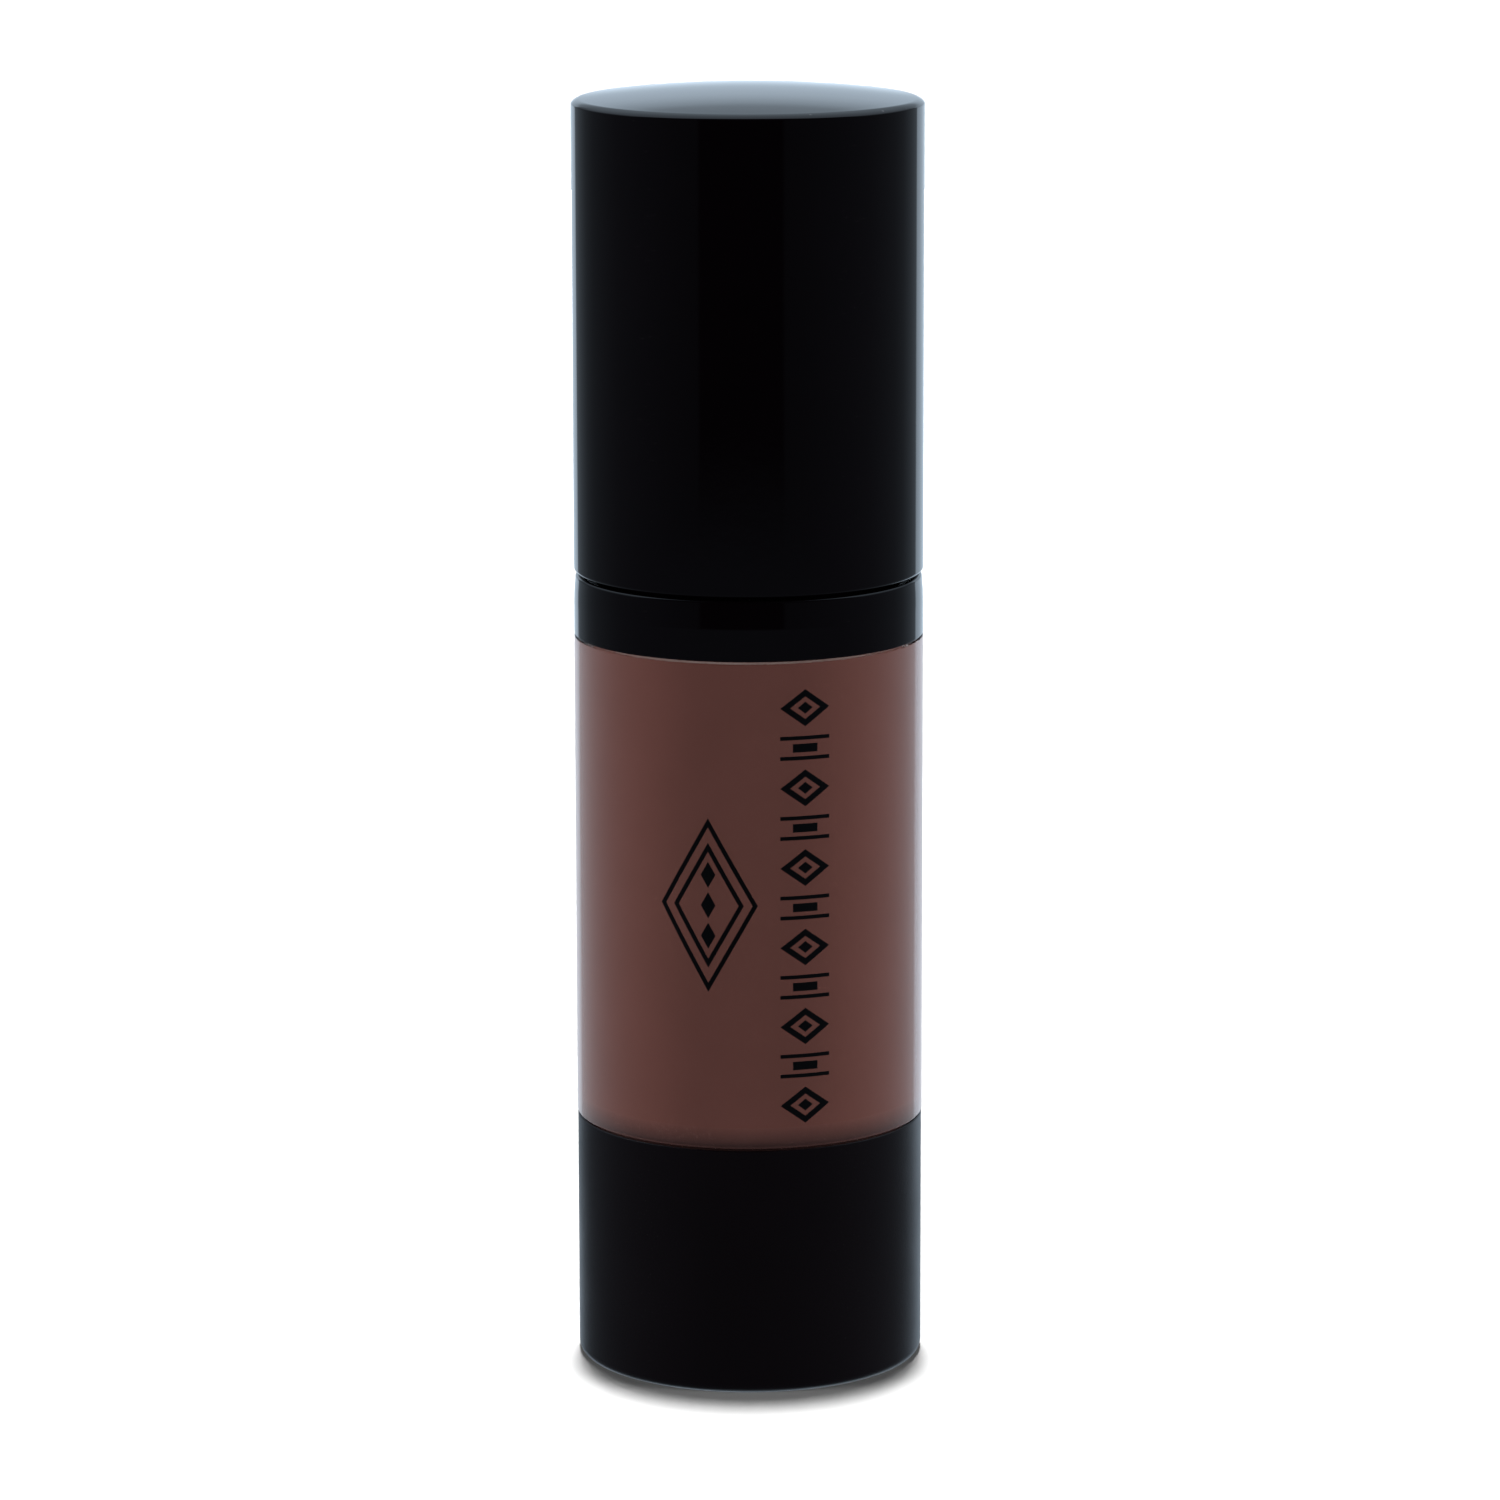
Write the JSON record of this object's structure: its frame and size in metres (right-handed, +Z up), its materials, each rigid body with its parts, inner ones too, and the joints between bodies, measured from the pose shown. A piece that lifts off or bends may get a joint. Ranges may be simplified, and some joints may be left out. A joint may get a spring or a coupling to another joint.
{
  "type": "foundation bottle",
  "caption": "Airless pump bottle for liquid foundation: clear tube on a black base, black collar and tall lift-off cap over a spring-return pump head with a side spout.",
  "frame": {"origin": "middle of the face that the bottle stands on", "axes": "+Z up along the bottle's axis, the pump's spout along -Y"},
  "size_m": [0.033, 0.033, 0.1217],
  "materials": {
    "gloss_black": "polished black moulded plastic",
    "base_black": "satin black moulded plastic",
    "satin_black": "fine satin black plastic",
    "clear_plastic": "thick clear polished plastic",
    "foundation": "deep brown liquid foundation",
    "natural_plastic": "natural white polypropylene",
    "seal_plastic": "soft milky polyethylene",
    "follower_plastic": "dark soft polyethylene",
    "spring_steel": "bright stainless spring wire",
    "glass_bead": "clear glass"
  },
  "bodies": {
    "bottle": {"base_cup": "base_black", "bottom_plug": "natural_plastic", "bottle_body": "clear_plastic", "foundation_fill": "foundation", "neck_gasket": "seal_plastic", "closure_plug": "natural_plastic", "collar_shell": "gloss_black", "pump_housing": "natural_plastic", "ball_cage": "natural_plastic", "lock_ring": "natural_plastic", "return_spring": "spring_steel"},
    "follower": {"follower_piston": "follower_plastic"},
    "valve_ball": {"inlet_ball": "glass_bead"},
    "piston": {"pump_piston": "seal_plastic"},
    "stem": {"pump_stem": "natural_plastic", "stem_plunger": "natural_plastic"},
    "head": {"actuator_head": "gloss_black", "nozzle_insert": "satin_black"},
    "cap": {"cap_shell": "gloss_black", "cap_liner": "satin_black"}
  },
  "joints": [
    {"name": "cap_lift", "type": "slide", "parent": "bottle", "child": "cap", "axis": [0, 0, 1], "range_m": [0, 0.045]},
    {"name": "pump_press", "type": "slide", "parent": "bottle", "child": "stem", "axis": [0, 0, -1], "range_m": [0, 0.0045], "stiffness_N_per_m": 1500, "springref_m": -0.003, "deforming": ["return_spring"]},
    {"name": "head_turn", "type": "hinge", "parent": "stem", "child": "head", "pos_m": [0, 0, 0.1], "axis": [0, 0, 1], "continuous": true},
    {"name": "piston_follow", "type": "slide", "parent": "bottle", "child": "piston", "axis": [0, 0, -1], "range_m": [0, 0.0038]},
    {"name": "ball_lift", "type": "slide", "parent": "bottle", "child": "valve_ball", "axis": [0, 0, 1], "range_m": [0, 0.00075]},
    {"name": "follower_rise", "type": "slide", "parent": "bottle", "child": "follower", "axis": [0, 0, 1], "range_m": [0, 0.0442], "deforming": ["foundation_fill"]}
  ],
  "couplings": [
    {"joint": "piston_follow", "follows": "pump_press", "ratio": 0.82}
  ]
}
